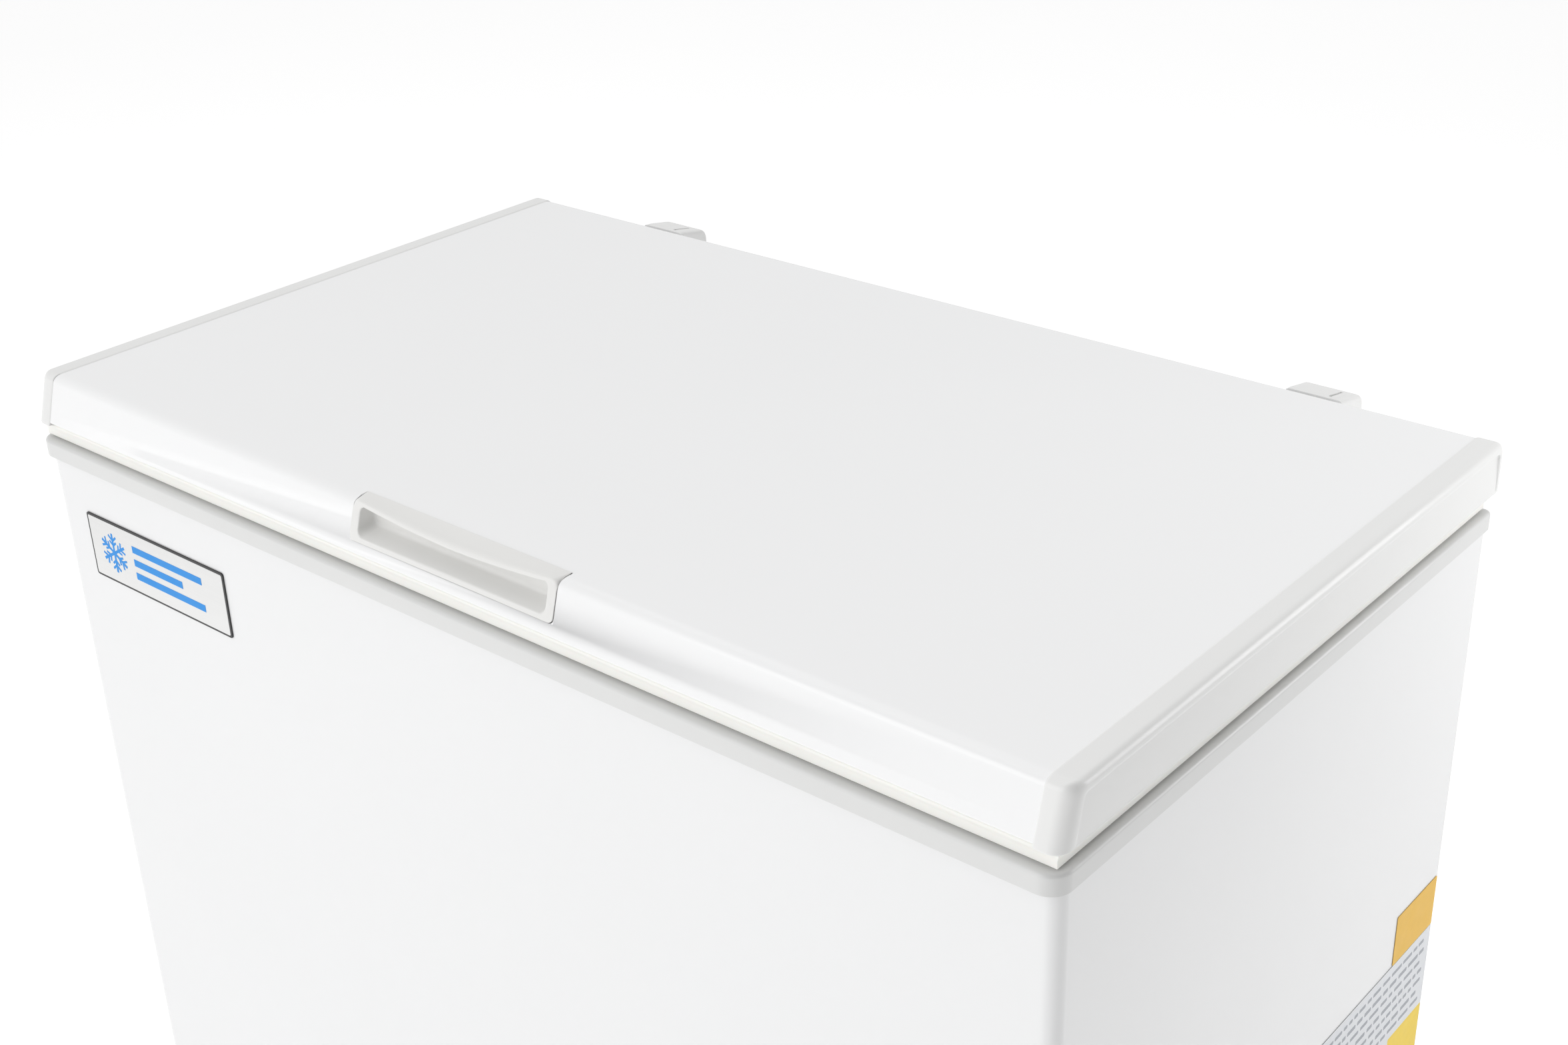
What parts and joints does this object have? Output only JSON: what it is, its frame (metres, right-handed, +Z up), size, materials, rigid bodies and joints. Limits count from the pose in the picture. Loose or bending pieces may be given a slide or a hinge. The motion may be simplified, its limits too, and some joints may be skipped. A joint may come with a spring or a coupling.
{
  "type": "chest freezer",
  "caption": "Free-standing chest freezer with a hinged foam lid, finger pull, compressor bay, drain and hanging basket.",
  "frame": {"origin": "on the floor, under the middle of the freezer's bounding box with the lid closed", "axes": "+X to the right along the front, +Y from the front to the back, +Z up"},
  "size_m": [0.945, 0.579, 0.85],
  "materials": {
    "painted_steel": "gloss",
    "galvanised_steel": "satin",
    "foam": "matte",
    "liner_aluminium": "satin",
    "white_plastic": "satin",
    "warm_plastic": "satin",
    "cream_vinyl": "matte",
    "black_plastic": "satin",
    "black_rubber": "matte",
    "badge_silver": "satin",
    "badge_blue": "gloss",
    "label_paper": "matte",
    "label_orange": "matte",
    "green_lens": "gloss",
    "amber_lens": "gloss",
    "compressor_black": "gloss",
    "copper": "satin",
    "zinc_steel": "satin",
    "spring_steel": "satin",
    "white_wire": "satin"
  },
  "bodies": {
    "cabinet": {"cabinet_wrapper": "painted_steel", "back_panel": "galvanised_steel", "base_pan": "galvanised_steel", "rear_service_cover": "galvanised_steel", "compressor_mount_plate": "galvanised_steel", "foam_insulation": "foam", "inner_liner": "liner_aluminium", "top_collar": "white_plastic", "side_grille": "white_plastic", "drain_tube": "white_plastic", "control_panel": "warm_plastic", "badge_backing": "black_plastic", "thermostat_body": "black_plastic", "relay_cover": "black_plastic", "foot_front_left": "black_plastic", "foot_front_right": "black_plastic", "foot_back_left": "black_plastic", "foot_back_right": "black_plastic", "cord_gland": "black_rubber", "compressor_grommet_1": "black_rubber", "compressor_grommet_2": "black_rubber", "compressor_grommet_3": "black_rubber", "compressor_grommet_4": "black_rubber", "badge_face": "badge_silver", "badge_emblem": "badge_blue", "side_label": "label_paper", "feature_sticker": "label_orange", "power_indicator": "green_lens", "run_indicator": "amber_lens", "compressor_shell": "compressor_black", "evaporator_coil": "copper", "condenser_coil": "copper", "filter_drier": "copper", "discharge_tube": "copper", "suction_tube": "copper", "hinge_bracket_left": "zinc_steel", "hinge_pin_left": "zinc_steel", "hinge_bracket_right": "zinc_steel", "hinge_pin_right": "zinc_steel", "hinge_screw_left_upper": "zinc_steel", "hinge_screw_left_lower": "zinc_steel", "hinge_screw_right_upper": "zinc_steel", "hinge_screw_right_lower": "zinc_steel", "hinge_spring_left": "spring_steel", "hinge_spring_right": "spring_steel"},
    "lid": {"lid_skin": "painted_steel", "lid_foam": "foam", "lid_liner": "white_plastic", "lid_gasket": "cream_vinyl", "lid_end_cap_left": "white_plastic", "lid_end_cap_right": "white_plastic", "lid_handle": "warm_plastic", "hinge_arm_left": "zinc_steel", "hinge_arm_right": "zinc_steel", "hinge_cover_left": "white_plastic", "hinge_cover_right": "white_plastic"},
    "thermostat_knob": {"thermostat_knob": "white_plastic"},
    "drain_cap": {"drain_cap": "white_plastic"},
    "drain_plug": {"drain_plug": "black_rubber"},
    "basket": {"basket": "white_wire"}
  },
  "joints": [
    {"name": "lid_hinge", "type": "hinge", "parent": "cabinet", "child": "lid", "pos_m": [0, 0.2735, 0.805], "axis": [-1, 0, 0], "range_deg": [0, 80], "stiffness_Nm_per_rad": 4, "springref_deg": 131.78},
    {"name": "thermostat_turn", "type": "hinge", "parent": "cabinet", "child": "thermostat_knob", "pos_m": [0.354, -0.28, 0.102], "axis": [0, 1, 0], "range_deg": [0, 270]},
    {"name": "drain_cap_pull", "type": "slide", "parent": "cabinet", "child": "drain_cap", "axis": [0, -1, 0], "range_m": [0, 0.03]},
    {"name": "drain_plug_lift", "type": "slide", "parent": "cabinet", "child": "drain_plug", "axis": [0, 0, 1], "range_m": [0, 0.03]},
    {"name": "basket_slide", "type": "slide", "parent": "cabinet", "child": "basket", "axis": [1, 0, 0], "range_m": [0, 0.58]}
  ]
}
